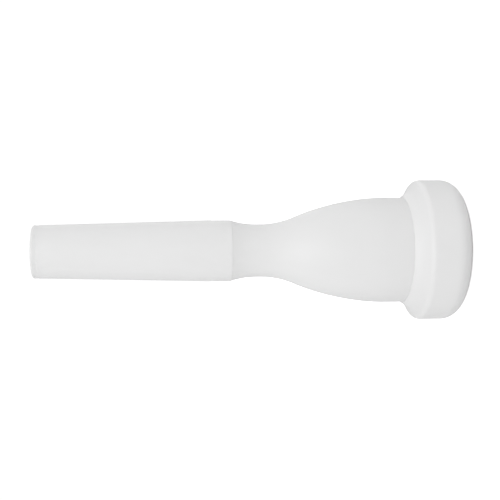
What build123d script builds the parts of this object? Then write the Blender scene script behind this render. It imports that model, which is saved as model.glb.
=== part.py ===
from build123d import *
import os
from math import cos, radians, sin, tan

# A trumpet-size brass-instrument mouthpiece that unscrews into a rim, a cup and a shank.
# Millimetres. +Z runs along the bore from the player's lips to the instrument, and the origin is
# the centre of the plane that the rim rests on. Radii are called *_R and places along Z *_Z.

# Outside, from the rim to the tip
RIM_R = 14.09
RIM_CREST_R = 10.0          # the circle that touches the lips, at Z = 0
RIM_FACE_DEPTH = 3.7        # how far back the rounded outer edge of the rim reaches
RIM_BACK_Z = 7.88           # where the rim's straight side ends and its back begins
RIM_BACK_ROUND = 1.36
RIM_BACK_SLOPE = 64.0       # degrees between the rim's back and the bore line
RIM_SEAM_SLOPE = 60.0       # the same angle where the back meets the cup
RIM_SEAM_Z = 11.35
RIM_BACK_HANDLES = (2.47, 0.78)     # how far the back's hollow keeps to each of the two slopes
RIM_FACE_FULLNESS = 0.55    # 0.55 makes the rounded outer edge a quarter of an ellipse
CUP_R = 10.55
CUP_STRAIGHT_Z = 15.2       # the cup is straight up to here, then curves down to the neck
CUP_INFLECTION = (6.66, 33.4)       # radius and Z where the bulge turns into the hollow
CUP_SLOPE = 23.6            # degrees between the cup's side and the bore line there
CUP_BULGE_HANDLES = (4.7, 6.9)      # how far the bulge keeps straight at its start and end
CUP_HOLLOW_HANDLES = (2.3, 1.6)     # the same for the hollow
NECK_R = 5.265
NECK_START_Z = 39.75
NECK_END_Z = 41.0
STEM_R = 6.03               # the stem's flared end
SHANK_SEAM_Z = 46.0
COLLAR_R = 6.075
COLLAR_END_Z = 48.9
SHANK_TAPER = 1 / 20        # diameter lost per length, the usual taper of a mouthpiece shank
TIP_BAND_Z = 83.45          # where the band at the tip begins
TIP_BAND_STEP = 0.055       # the step down onto it
TIP_BAND_FLARE = 0.03       # how much its radius grows again towards the tip
TIP_ROUND = 0.45
LENGTH = 84.7
EDGE_BREAK = 0.03           # the hairline chamfers on both sides of each seam

# Inside
BITE_R = 8.25
BITE_Z = 1.7
BOWL_TOP_R = 8.05
BOWL_SHOULDER = (2.55, 12.1)        # radius and Z where the bowl turns over into the throat
THROAT_R = 1.83
THROAT_START_Z = 13.4
THROAT_END_Z = 16.4
BACKBORE_END_R = 4.15
BORE_EDGE_ROUND = 0.25      # the rounded edge where the bore leaves the tip
# The radius and Z of the two points that each inside curve leans towards
LIP_LEAN = ((8.36, 0.95), (8.9, 0))
BITE_LEAN = ((8.12, 2.4), (8.17, 2.1))
THROAT_LEAN = ((THROAT_R, 12.9), (2.1, 12.45))
BOWL_LEAN = ((4.6, 10.5), (7.75, 8.4))

# The two screw joints
SCREW_CLEARANCE = 0.10      # between the crests of one thread and the roots of the other
THREAD_FLANK = 30.0         # degrees
RIM_THREAD = {"pitch": 1.0, "crest_r": 9.5, "depth": 0.5, "start_z": 4.2, "turns": 5.0}
SHANK_THREAD = {"pitch": 0.75, "crest_r": 4.05, "depth": 0.4, "start_z": 39.4, "turns": 5.0}
CREST_WIDTH = 0.12          # of a thread's crest, as a share of its pitch
RIDGE_SINK = 0.08           # how far a thread's ridge reaches into the wall that carries it
END_GAP = 0.05              # between the end of a spigot and the floor of its socket
RIM_LEDGE_Z = 3.0
SPIGOT_LEAD = 0.5           # the chamfer that helps a spigot into its socket
SOCKET_FLOOR_Z = 38.4

# O-rings: the section's radius, the ring's mean radius and its place
RIM_RING = {"section_r": 0.5, "mean_r": 9.04, "z": 10.35}
SHANK_RING = {"section_r": 0.4, "mean_r": 4.24, "z": 45.1}
RING_SEAT_GAP = 0.04        # between a ring and the floor of its groove or its socket
GROOVE_SIDE_GAP = 0.10


def at(r, z):
    return Vector(r, 0, z)


def places(points):
    return [at(r, z) for r, z in points]


def heading(angle):
    """The direction that makes this many degrees with the bore line, turning towards the axis."""
    return Vector(-sin(radians(angle)), 0, cos(radians(angle)))


def chain(*corners):
    """Straight edges from each corner to the next."""
    return [Line(a, b) for a, b in zip(corners, corners[1:])]


def turned(edges):
    """The solid that an outline sweeps when it turns once around the bore line."""
    return revolve(make_face(edges), axis=Axis.Z)


def backbore_r(z):
    """The backbore's radius: a straight cone from the throat to the tip."""
    share = (z - THROAT_END_Z) / (LENGTH - THROAT_END_Z)
    return THROAT_R + (BACKBORE_END_R - THROAT_R) * share


def ridge(thread, inward=False):
    """A right-hand thread's helical ridge. The inward one belongs to the socket: it runs half a
    pitch beside the outward one, and one clearance further from the bore line."""
    pitch, depth = thread["pitch"], thread["depth"]
    side = -1 if inward else 1
    root_r = thread["crest_r"] + SCREW_CLEARANCE if inward else thread["crest_r"] - depth
    crest_half = CREST_WIDTH * pitch / 2
    base_half = crest_half + (depth + RIDGE_SINK) * tan(radians(THREAD_FLANK))
    base_r = root_r - side * RIDGE_SINK
    crest_r = root_r + side * depth
    section = Polyline(
        at(base_r, -base_half),
        at(crest_r, -crest_half),
        at(crest_r, crest_half),
        at(base_r, base_half),
        close=True,
    )
    path = Helix(pitch=pitch, height=thread["turns"] * pitch, radius=root_r)
    swept = sweep(sections=make_face(section), path=path, is_frenet=True)
    return Pos(0, 0, thread["start_z"] + (pitch / 2 if inward else 0)) * swept


def o_ring(ring):
    circle = Pos(ring["mean_r"], 0, ring["z"]) * Rot(90, 0, 0) * Circle(ring["section_r"])
    return revolve(circle, axis=Axis.Z)


def groove(ring):
    """The corners of a ring's groove, up the spigot: its floor's radius, and both ends' places."""
    half = ring["section_r"] + GROOVE_SIDE_GAP
    floor_r = ring["mean_r"] - ring["section_r"] - RING_SEAT_GAP
    return floor_r, ring["z"] - half, ring["z"] + half


def socket_r(ring):
    """The radius of the smooth bore that a ring seals against."""
    return ring["mean_r"] + ring["section_r"] + RING_SEAT_GAP


def rim_back():
    """The rim's outside edges from its straight side to the seam with the cup."""
    middle = at(RIM_R - RIM_BACK_ROUND, RIM_BACK_Z)
    slope = radians(RIM_BACK_SLOPE)
    round_end = middle + Vector(cos(slope), 0, sin(slope)) * RIM_BACK_ROUND
    half_slope = slope / 2
    round_middle = middle + Vector(cos(half_slope), 0, sin(half_slope)) * RIM_BACK_ROUND
    seam = at(CUP_R, RIM_SEAM_Z)
    start_handle, end_handle = RIM_BACK_HANDLES
    return [
        ThreePointArc(at(RIM_R, RIM_BACK_Z), round_middle, round_end),
        Bezier(
            round_end,
            round_end + heading(RIM_BACK_SLOPE) * start_handle,
            seam - heading(RIM_SEAM_SLOPE) * end_handle,
            seam,
        ),
    ]


def rim():
    thread = RIM_THREAD
    bore_r = thread["crest_r"] + SCREW_CLEARANCE
    crest = at(RIM_CREST_R, 0)
    bite = at(BITE_R, BITE_Z)
    side_start = at(RIM_R, RIM_FACE_DEPTH)
    face = Bezier(
        crest,
        at(RIM_CREST_R + (RIM_R - RIM_CREST_R) * RIM_FACE_FULLNESS, 0),
        at(RIM_R, RIM_FACE_DEPTH * (1 - RIM_FACE_FULLNESS)),
        side_start,
    )
    bite_curve = Bezier(at(BOWL_TOP_R, RIM_LEDGE_Z), *places(BITE_LEAN), bite)
    lip_curve = Bezier(bite, *places(LIP_LEAN), crest)
    inside = chain(
        at(CUP_R, RIM_SEAM_Z),
        at(bore_r + EDGE_BREAK, RIM_SEAM_Z),
        at(bore_r, RIM_SEAM_Z - EDGE_BREAK),
        at(bore_r, RIM_LEDGE_Z),
        at(BOWL_TOP_R, RIM_LEDGE_Z),
    )
    body = turned([face, Line(side_start, at(RIM_R, RIM_BACK_Z)), *rim_back(), *inside,
                   bite_curve, lip_curve])
    return body + ridge(thread, inward=True)


def cup_outside():
    """The cup's outside from the seam with the rim to the seam with the shank."""
    inflection = at(*CUP_INFLECTION)
    downhill = heading(CUP_SLOPE)
    bulge_start, bulge_end = CUP_BULGE_HANDLES
    hollow_start, hollow_end = CUP_HOLLOW_HANDLES
    straight_end = at(CUP_R, CUP_STRAIGHT_Z)
    neck_start = at(NECK_R, NECK_START_Z)
    neck_end = at(NECK_R, NECK_END_Z)
    stem_end = at(STEM_R, SHANK_SEAM_Z - EDGE_BREAK)
    return [
        Line(at(CUP_R - EDGE_BREAK, RIM_SEAM_Z), at(CUP_R, RIM_SEAM_Z + EDGE_BREAK)),
        Line(at(CUP_R, RIM_SEAM_Z + EDGE_BREAK), straight_end),
        Bezier(
            straight_end,
            straight_end + Vector(0, 0, bulge_start),
            inflection - downhill * bulge_end,
            inflection,
        ),
        Bezier(
            inflection,
            inflection + downhill * hollow_start,
            neck_start - Vector(0, 0, hollow_end),
            neck_start,
        ),
        Line(neck_start, neck_end),
        TangentArc(neck_end, stem_end, tangent=(0, 0, 1)),
        Line(stem_end, at(STEM_R - EDGE_BREAK, SHANK_SEAM_Z)),
    ]


def bowl():
    """The cup's inside, from the throat out to the top of the spigot."""
    shoulder = at(*BOWL_SHOULDER)
    return [
        Bezier(at(THROAT_R, THROAT_START_Z), *places(THROAT_LEAN), shoulder),
        Bezier(shoulder, *places(BOWL_LEAN), at(BOWL_TOP_R, RIM_LEDGE_Z + END_GAP)),
    ]


def cup():
    rim_root_r = RIM_THREAD["crest_r"] - RIM_THREAD["depth"]
    groove_r, groove_start, groove_end = groove(RIM_RING)
    ring_bore_r = socket_r(SHANK_RING)
    thread_bore_r = SHANK_THREAD["crest_r"] + SCREW_CLEARANCE
    spigot_top = RIM_LEDGE_Z + END_GAP
    spigot = chain(
        at(BOWL_TOP_R, spigot_top),
        at(rim_root_r - SPIGOT_LEAD / 2, spigot_top),
        at(rim_root_r, spigot_top + SPIGOT_LEAD),
        at(rim_root_r, groove_start),
        at(groove_r, groove_start),
        at(groove_r, groove_end),
        at(rim_root_r, groove_end),
        at(rim_root_r, RIM_SEAM_Z),
        at(CUP_R - EDGE_BREAK, RIM_SEAM_Z),
    )
    ring_bore_end = groove(SHANK_RING)[1] - SPIGOT_LEAD
    socket = chain(
        at(STEM_R - EDGE_BREAK, SHANK_SEAM_Z),
        at(ring_bore_r + EDGE_BREAK, SHANK_SEAM_Z),
        at(ring_bore_r, SHANK_SEAM_Z - EDGE_BREAK),
        at(ring_bore_r, ring_bore_end),
        at(thread_bore_r, ring_bore_end - SPIGOT_LEAD),
        at(thread_bore_r, SOCKET_FLOOR_Z),
        at(backbore_r(SOCKET_FLOOR_Z), SOCKET_FLOOR_Z),
        at(THROAT_R, THROAT_END_Z),
        at(THROAT_R, THROAT_START_Z),
    )
    body = turned([*spigot, *cup_outside(), *socket, *bowl()])
    return body + ridge(RIM_THREAD) + ridge(SHANK_THREAD, inward=True)


def shank():
    root_r = SHANK_THREAD["crest_r"] - SHANK_THREAD["depth"]
    groove_r, groove_start, groove_end = groove(SHANK_RING)
    tenon_end = SOCKET_FLOOR_Z + END_GAP
    taper_end_r = COLLAR_R - SHANK_TAPER / 2 * (TIP_BAND_Z - COLLAR_END_Z)
    band_r = taper_end_r - TIP_BAND_STEP
    tip_r = band_r + TIP_BAND_FLARE
    bore_edge = at(BACKBORE_END_R, LENGTH - BORE_EDGE_ROUND)
    face_inner = at(BACKBORE_END_R + BORE_EDGE_ROUND, LENGTH)
    tenon = chain(
        at(backbore_r(tenon_end), tenon_end),
        at(root_r - SPIGOT_LEAD / 2, tenon_end),
        at(root_r, tenon_end + SPIGOT_LEAD),
        at(root_r, groove_start),
        at(groove_r, groove_start),
        at(groove_r, groove_end),
        at(root_r, groove_end),
        at(root_r, SHANK_SEAM_Z),
        at(COLLAR_R - EDGE_BREAK, SHANK_SEAM_Z),
        at(COLLAR_R, SHANK_SEAM_Z + EDGE_BREAK),
        at(COLLAR_R, COLLAR_END_Z),
        at(taper_end_r, TIP_BAND_Z),
        at(band_r, TIP_BAND_Z + TIP_BAND_STEP),
        at(tip_r, LENGTH - TIP_ROUND),
    )
    tip = [
        TangentArc(at(tip_r, LENGTH - TIP_ROUND), at(tip_r - TIP_ROUND, LENGTH),
                   tangent=(0, 0, 1)),
        Line(at(tip_r - TIP_ROUND, LENGTH), face_inner),
        TangentArc(face_inner, bore_edge, tangent=(-1, 0, 0)),
        Line(bore_edge, at(backbore_r(tenon_end), tenon_end)),
    ]
    return turned([*tenon, *tip]) + ridge(SHANK_THREAD)


NODES = {
    "rim": rim,
    "rim_o_ring": lambda: o_ring(RIM_RING),
    "cup": cup,
    "shank_o_ring": lambda: o_ring(SHANK_RING),
    "shank": shank,
}

os.makedirs("parts", exist_ok=True)
for name, make in NODES.items():
    export_step(make(), f"parts/{name}.step")
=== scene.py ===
"""A white trumpet-size mouthpiece that unscrews into a rim, a cup and a shank, in a pale studio.

Metres, in the CAD model's own frame: the rim rests on the floor at Z = 0, and +Z runs along the
bore to the shank's tip. The camera looks level with the bore lying across the picture.
"""

import math

import bpy
from mathutils import Matrix, Vector

def grey(level):
    return (level, level, level, 1.0)


MM = 0.001

# The camera: how far along the bore it aims, and how it looks at it
AIM_Z = 42.1 * MM
CAMERA_DISTANCE = 189.55 * MM
CAMERA_RISE = 0.12 * MM             # how far above the bore it aims
CAMERA_YAW = math.radians(5.5)      # the rim end is the further one
CAMERA_ROLL = math.radians(0.35)    # the rim end stands this much higher in the picture
SENSOR_WIDTH = 36.0                 # this and the focal length are in millimetres
FOCAL_LENGTH = 68.4
NEAREST_SEEN = 0.005
FURTHEST_SEEN = 20.0

# The studio: what the camera sees of the backdrop, and what lights the object
BACKDROP_STRENGTH = 1.05
SKY_STRENGTH = 0.6
FLOOR_RADIUS = 0.9
FLOOR_SIDES = 96
FLOOR_PAPER = (grey(0.85), grey(0.87))
FLOOR_PAPER_SCALE = 9.0
FLOOR_ROUGHNESS = 0.9
FLOOR_GLOW = grey(0.85)             # seen by the camera only, so that the floor reads white

# Each softbox: its direction from the object in steps right, up and towards the camera, and its watts
SOFTBOX_SIZE = 0.45
SOFTBOX_DISTANCE = 0.70
SOFTBOXES = {
    "key_front_above": ((-1, 0, 1), 2.6),
    "fill_side_a": ((0, 1, 0), 0.7),
    "fill_side_b": ((0, -1, 0), 1.0),
    "fill_back_a": ((0, 1, -1), 0.9),
    "fill_back_b": ((0, -1, -1), 0.5),
}

# The plastic: its colour, its cloudiness, and its fine skin (the scales are per metre)
WHITE = grey(0.74)
CLOUD_SCALE = 55.0
CLOUD_SHADES = (0.985, 1.01)
PLASTIC_ROUGHNESS = (grey(0.48), grey(0.56))
PLASTIC_IOR = 1.48
SKIN_SCALE = 2600.0
SKIN_STRENGTH = 0.07
SKIN_DEPTH = 0.02 * MM
# A painted shade: the shank's colour is darkened near its tip to stand in for the shading there
TIP_SHADE_BAND = (83.2 * MM, 83.5 * MM)   # the shank's colour is painted darker between these two heights, a painted shade
TIP_SHADE_TINT = 0.925

# The rubber: its colour and its speckle
RUBBER = (0.030, 0.030, 0.032, 1.0)
SPECKLE_SCALE = 3500.0
SPECKLE_SHADES = (0.8, 1.5)
SPECKLE_STRENGTH = 0.25
SPECKLE_DEPTH = 0.03 * MM
RUBBER_ROUGHNESS = (grey(0.42), grey(0.6))
RUBBER_IOR = 1.52

# Where a colour Mix node takes its factor and two colours, and where it gives the result
MIX_FACTOR, MIX_A, MIX_B, MIX_RESULT = 0, 6, 7, 2


class Nodes:
    """A short way to write a node tree: adds nodes and links them."""

    def __init__(self, tree):
        self.tree = tree

    def add(self, kind, **settings):
        node = self.tree.nodes.new(kind)
        for name, value in settings.items():
            if name in node.inputs:
                node.inputs[name].default_value = value
            else:
                setattr(node, name, value)
        return node

    def link(self, start, end):
        self.tree.links.new(start, end)


def new_material(name):
    material = bpy.data.materials.new(name)
    material.use_nodes = True
    material.node_tree.nodes.clear()
    return material, Nodes(material.node_tree)


def ramp(nodes, source, low, high, low_at=0.3, high_at=0.7):
    """A colour ramp from one colour to another, fed by a texture."""
    node = nodes.add("ShaderNodeValToRGB")
    first, last = node.color_ramp.elements
    first.position, first.color = low_at, low
    last.position, last.color = high_at, high
    nodes.link(source, node.inputs["Fac"])
    return node


def shade(colour, factor):
    return (colour[0] * factor, colour[1] * factor, colour[2] * factor, 1.0)


def finish_material(nodes, shader):
    output = nodes.add("ShaderNodeOutputMaterial")
    nodes.link(shader.outputs["BSDF"], output.inputs["Surface"])


def paint_tip_shade(nodes, colour, place):
    """Multiplies a colour so that the band at the shank's tip is darker: a painted shade standing in
    for the shading at the tip.
    """
    split = nodes.add("ShaderNodeSeparateXYZ")
    nodes.link(place, split.inputs["Vector"])
    start, end = TIP_SHADE_BAND
    tip_shade_ramp = ramp(nodes, split.outputs["Z"], grey(1.0), grey(TIP_SHADE_TINT), start, end)
    mix = nodes.add("ShaderNodeMix", data_type="RGBA", blend_type="MULTIPLY")
    mix.inputs[MIX_FACTOR].default_value = 1.0
    nodes.link(colour, mix.inputs[MIX_A])
    nodes.link(tip_shade_ramp.outputs["Color"], mix.inputs[MIX_B])
    return mix.outputs[MIX_RESULT]


def white_plastic(name, tip_shade=False):
    """Satin moulded plastic: a barely visible cloudiness, and a fine skin texture."""
    material, nodes = new_material(name)
    place = nodes.add("ShaderNodeTexCoord").outputs["Object"]
    cloud = nodes.add("ShaderNodeTexNoise", Scale=CLOUD_SCALE, Detail=3.0, Roughness=0.5)
    skin = nodes.add("ShaderNodeTexNoise", Scale=SKIN_SCALE, Detail=2.0, Roughness=0.55)
    for texture in (cloud, skin):
        nodes.link(place, texture.inputs["Vector"])
    darker, lighter = CLOUD_SHADES
    colour = ramp(nodes, cloud.outputs["Fac"], shade(WHITE, darker), shade(WHITE, lighter))
    roughness = ramp(nodes, cloud.outputs["Fac"], *PLASTIC_ROUGHNESS)
    bump = nodes.add("ShaderNodeBump", Strength=SKIN_STRENGTH, Distance=SKIN_DEPTH)
    nodes.link(skin.outputs["Fac"], bump.inputs["Height"])
    shader = nodes.add("ShaderNodeBsdfPrincipled", IOR=PLASTIC_IOR)
    tone = colour.outputs["Color"]
    # the shank's tip band gets a painted shade
    if tip_shade:
        tone = paint_tip_shade(nodes, tone, place)
    nodes.link(tone, shader.inputs["Base Color"])
    nodes.link(roughness.outputs["Color"], shader.inputs["Roughness"])
    nodes.link(bump.outputs["Normal"], shader.inputs["Normal"])
    finish_material(nodes, shader)
    return material


def ring_rubber():
    """Black nitrile rubber: faintly speckled, with a soft sheen."""
    material, nodes = new_material("ring_rubber")
    place = nodes.add("ShaderNodeTexCoord").outputs["Object"]
    speckle = nodes.add("ShaderNodeTexNoise", Scale=SPECKLE_SCALE, Detail=2.0)
    nodes.link(place, speckle.inputs["Vector"])
    darker, lighter = SPECKLE_SHADES
    colour = ramp(nodes, speckle.outputs["Fac"], shade(RUBBER, darker), shade(RUBBER, lighter))
    roughness = ramp(nodes, speckle.outputs["Fac"], *RUBBER_ROUGHNESS)
    bump = nodes.add("ShaderNodeBump", Strength=SPECKLE_STRENGTH, Distance=SPECKLE_DEPTH)
    nodes.link(speckle.outputs["Fac"], bump.inputs["Height"])
    shader = nodes.add("ShaderNodeBsdfPrincipled", IOR=RUBBER_IOR)
    nodes.link(colour.outputs["Color"], shader.inputs["Base Color"])
    nodes.link(roughness.outputs["Color"], shader.inputs["Roughness"])
    nodes.link(bump.outputs["Normal"], shader.inputs["Normal"])
    finish_material(nodes, shader)
    return material


def floor_material():
    """White paper, faintly uneven, with a glow that only the camera sees."""
    material, nodes = new_material("studio_floor")
    place = nodes.add("ShaderNodeTexCoord").outputs["Object"]
    paper = nodes.add("ShaderNodeTexNoise", Scale=FLOOR_PAPER_SCALE, Detail=2.0)
    nodes.link(place, paper.inputs["Vector"])
    colour = ramp(nodes, paper.outputs["Fac"], *FLOOR_PAPER)
    shader = nodes.add("ShaderNodeBsdfPrincipled", Roughness=FLOOR_ROUGHNESS)
    shader.inputs["Emission Color"].default_value = FLOOR_GLOW
    path = nodes.add("ShaderNodeLightPath")
    nodes.link(colour.outputs["Color"], shader.inputs["Base Color"])
    nodes.link(path.outputs["Is Camera Ray"], shader.inputs["Emission Strength"])
    finish_material(nodes, shader)
    return material


def dress(nodes, materials):
    """Gives each CAD node its material."""
    for name, material in materials.items():
        mesh = nodes[name].data
        mesh.materials.clear()
        mesh.materials.append(material)


def make_floor():
    mesh = bpy.data.meshes.new("studio_floor")
    corners = []
    for i in range(FLOOR_SIDES):
        angle = 2 * math.pi * i / FLOOR_SIDES
        corners.append((FLOOR_RADIUS * math.cos(angle), FLOOR_RADIUS * math.sin(angle), 0.0))
    mesh.from_pydata(corners, [], [list(range(FLOOR_SIDES))])
    floor = bpy.data.objects.new("studio_floor", mesh)
    bpy.context.scene.collection.objects.link(floor)
    mesh.materials.append(floor_material())


def make_world():
    """A white surround: the camera sees one white, and the object is lit by a softer one."""
    world = bpy.data.worlds.new("studio")
    bpy.context.scene.world = world
    world.use_nodes = True
    world.node_tree.nodes.clear()
    nodes = Nodes(world.node_tree)
    seen = nodes.add("ShaderNodeBackground", Color=grey(1.0), Strength=BACKDROP_STRENGTH)
    lit = nodes.add("ShaderNodeBackground", Color=grey(1.0), Strength=SKY_STRENGTH)
    path = nodes.add("ShaderNodeLightPath")
    mix = nodes.add("ShaderNodeMixShader")
    output = nodes.add("ShaderNodeOutputWorld")
    nodes.link(path.outputs["Is Camera Ray"], mix.inputs["Fac"])
    nodes.link(lit.outputs["Background"], mix.inputs[1])
    nodes.link(seen.outputs["Background"], mix.inputs[2])
    nodes.link(mix.outputs["Shader"], output.inputs["Surface"])


def camera_axes():
    """The camera's right, up and ahead: level with the bore, with the rim to the right."""
    right = Vector((0, -math.sin(CAMERA_YAW), -math.cos(CAMERA_YAW)))
    up = Vector((1, 0, 0))
    ahead = Vector((0, math.cos(CAMERA_YAW), -math.sin(CAMERA_YAW)))
    return right, up, ahead


def softbox(name, direction, power):
    """A square area light that points at the middle of the object."""
    right, up, ahead = camera_axes()
    across, upwards, nearer = direction
    outwards = (right * across + up * upwards - ahead * nearer).normalized()
    light = bpy.data.lights.new(name, "AREA")
    light.shape = "SQUARE"
    light.size = SOFTBOX_SIZE
    light.energy = power
    lamp = bpy.data.objects.new(name, light)
    bpy.context.scene.collection.objects.link(lamp)
    lamp.location = Vector((0, 0, AIM_Z)) + outwards * SOFTBOX_DISTANCE
    lamp.rotation_mode = "QUATERNION"
    lamp.rotation_quaternion = (-outwards).to_track_quat("-Z", "Y")


def make_camera():
    right, up, ahead = camera_axes()
    axes = Matrix((right, up, -ahead)).transposed()
    data = bpy.data.cameras.new("camera")
    data.sensor_width = SENSOR_WIDTH
    data.lens = FOCAL_LENGTH
    data.clip_start = NEAREST_SEEN
    data.clip_end = FURTHEST_SEEN
    camera = bpy.data.objects.new("camera", data)
    bpy.context.scene.collection.objects.link(camera)
    turn = axes @ Matrix.Rotation(-CAMERA_ROLL, 3, "Z")
    place = Vector((0, 0, AIM_Z)) + up * CAMERA_RISE - ahead * CAMERA_DISTANCE
    camera.matrix_world = Matrix.Translation(place) @ turn.to_4x4()
    bpy.context.scene.camera = camera


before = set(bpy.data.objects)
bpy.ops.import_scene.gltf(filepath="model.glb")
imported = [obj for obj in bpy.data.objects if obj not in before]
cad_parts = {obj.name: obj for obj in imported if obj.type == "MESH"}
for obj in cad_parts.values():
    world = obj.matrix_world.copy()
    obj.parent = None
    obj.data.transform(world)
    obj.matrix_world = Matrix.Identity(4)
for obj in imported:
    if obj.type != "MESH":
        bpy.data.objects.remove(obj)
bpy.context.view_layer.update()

bpy.context.scene.view_settings.view_transform = "Standard"
make_camera()
make_world()
make_floor()
for name, (direction, power) in SOFTBOXES.items():
    softbox(name, direction, power)

rubber = ring_rubber()
dress(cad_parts, {
    "rim": white_plastic("rim_plastic"),
    "cup": white_plastic("cup_plastic"),
    # the shank's plastic carries the painted shade band at its tip
    "shank": white_plastic("shank_plastic", tip_shade=True),
    "rim_o_ring": rubber,
    "shank_o_ring": rubber,
})
